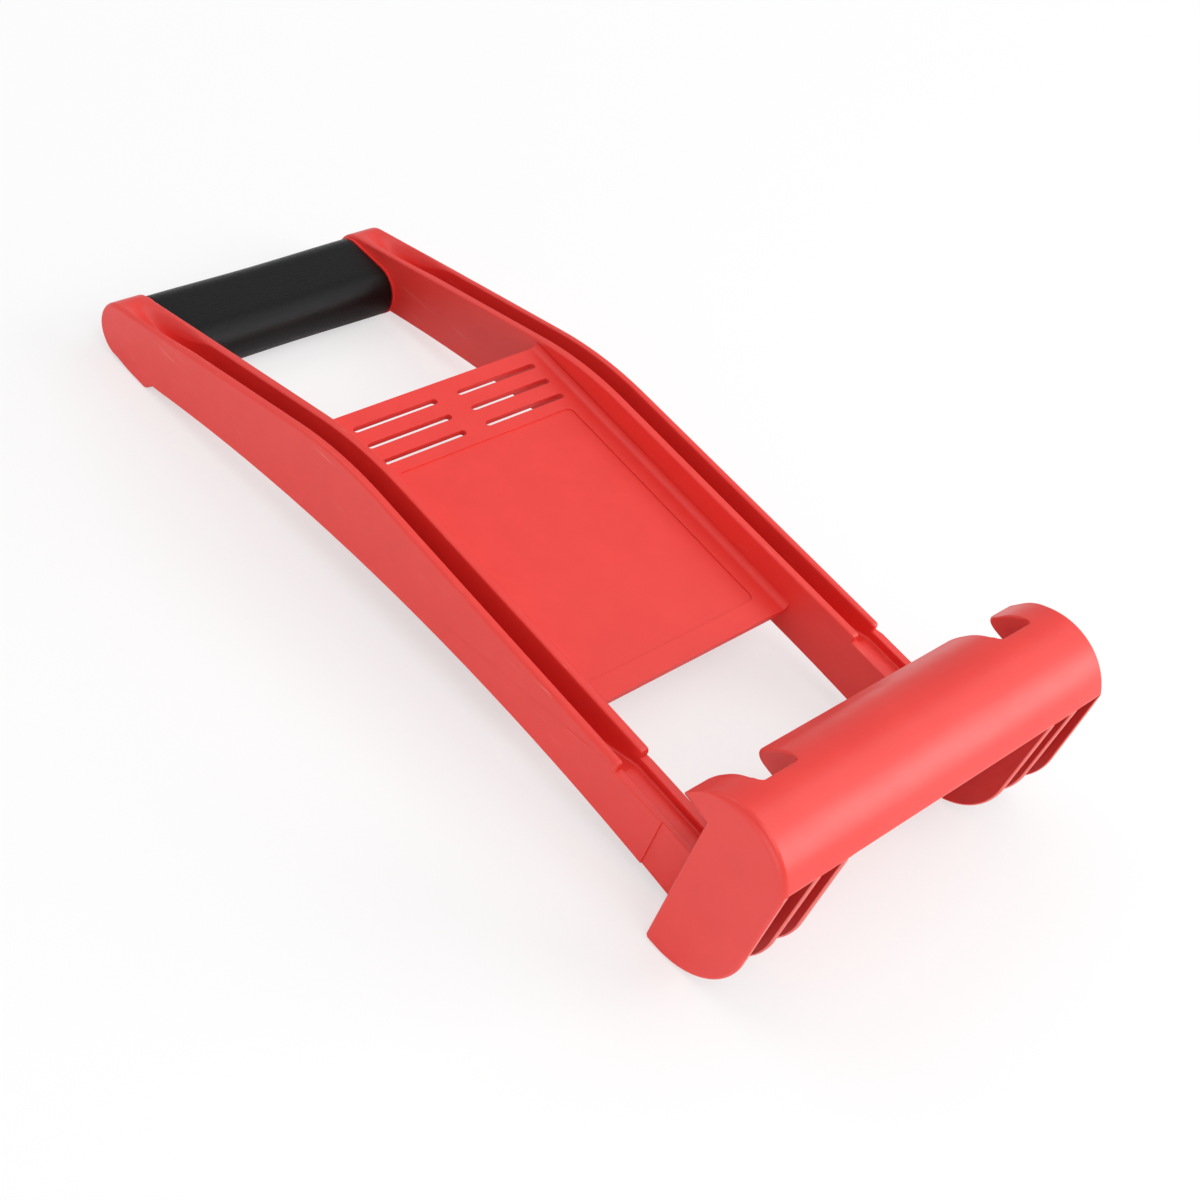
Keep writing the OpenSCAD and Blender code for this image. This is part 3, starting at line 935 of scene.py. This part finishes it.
def make_floor():
    bm = bmesh.new()
    bmesh.ops.create_grid(bm, x_segments=1, y_segments=1, size=FLOOR_SIZE)
    mesh = take_mesh(bm, "floor")
    obj = bpy.data.objects.new("floor", mesh)
    bpy.context.scene.collection.objects.link(obj)
    mat, tree, out = material("floor_pale")
    shader = tree.nodes.new("ShaderNodeBsdfPrincipled")
    shader.inputs["Base Color"].default_value = FLOOR_PALE
    shader.inputs["Roughness"].default_value = 0.9
    shader.inputs["Specular IOR Level"].default_value = 0.1
    # The camera sees a floor that turns white further out: near the part it keeps a faint shadow,
    # and far off it meets the backdrop without a line
    white = tree.nodes.new("ShaderNodeEmission")
    white.inputs["Color"].default_value = WHITE
    place = tree.nodes.new("ShaderNodeNewGeometry").outputs["Position"]
    far = tree.nodes.new("ShaderNodeVectorMath")
    far.operation = "LENGTH"
    tree.links.new(place, far.inputs[0])
    seen = tree.nodes.new("ShaderNodeMixShader")
    tree.links.new(ramp(tree, far.outputs["Value"], FLOOR_NEAR, FLOOR_FAR), seen.inputs["Fac"])
    tree.links.new(shader.outputs["BSDF"], seen.inputs[1])
    tree.links.new(white.outputs["Emission"], seen.inputs[2])
    plain = tree.nodes.new("ShaderNodeBsdfDiffuse")
    plain.inputs["Color"].default_value = FLOOR_PALE
    for_camera(tree, plain.outputs["BSDF"], seen.outputs["Shader"], out)
    mesh.materials.append(mat)


def soft_light(name, place, target, size, power, tall=None):
    data = bpy.data.lights.new(name, "AREA")
    data.shape = "RECTANGLE"
    data.size = size
    data.size_y = size if tall is None else tall
    data.energy = power
    obj = bpy.data.objects.new(name, data)
    bpy.context.scene.collection.objects.link(obj)
    obj.location = place
    obj.rotation_euler = (Vector(target) - Vector(place)).to_track_quat("-Z", "Y").to_euler()


def make_world():
    world = bpy.data.worlds.new("studio")
    bpy.context.scene.world = world
    world.use_nodes = True
    tree = world.node_tree
    tree.nodes.clear()
    out = tree.nodes.new("ShaderNodeOutputWorld")
    seen = tree.nodes.new("ShaderNodeBackground")
    seen.inputs["Color"].default_value = WHITE
    lit = tree.nodes.new("ShaderNodeBackground")
    lit.inputs["Color"].default_value = WHITE
    lit.inputs["Strength"].default_value = WORLD_LIGHT
    for_camera(tree, lit.outputs["Background"], seen.outputs["Background"], out)


make_floor()
make_world()
soft_light("key", (-0.35, -0.95, 1.6), (0, -0.05, 0.03), size=1.0, power=8.5)
soft_light("top", (0.9, -0.3, 1.5), (0, 0, 0.03), size=1.2, power=6)
soft_light("left", (-1.7, -0.6, 0.2), (0, -0.08, 0.03), size=1.2, power=5, tall=0.3)
soft_light("front", (1.1, -1.25, 0.75), (0, -0.1, 0.05), size=1.0, power=14)
soft_light("back", (-0.5, 1.1, 1.4), (0, 0, 0.03), size=1.0, power=4)

# Camera at the photo's angle
CAM_PLACE = Vector((-0.38862, -0.32253, 0.43745))
CAM_AIM = Vector((-0.01527, -0.04352, 0.030))
CAM_ROLL = 16.10
CAM_LENS = 59.606
CAM_SENSOR = 36.0

cam_data = bpy.data.cameras.new("camera")
cam_data.lens = CAM_LENS
cam_data.sensor_width = CAM_SENSOR
camera = bpy.data.objects.new("camera", cam_data)
bpy.context.scene.collection.objects.link(camera)
look = (CAM_AIM - CAM_PLACE).to_track_quat("-Z", "Y").to_matrix().to_4x4()
roll = Matrix.Rotation(math.radians(CAM_ROLL), 4, "Z")
camera.matrix_world = Matrix.Translation(CAM_PLACE) @ look @ roll
bpy.context.scene.camera = camera

bpy.context.scene.view_settings.view_transform = "Standard"
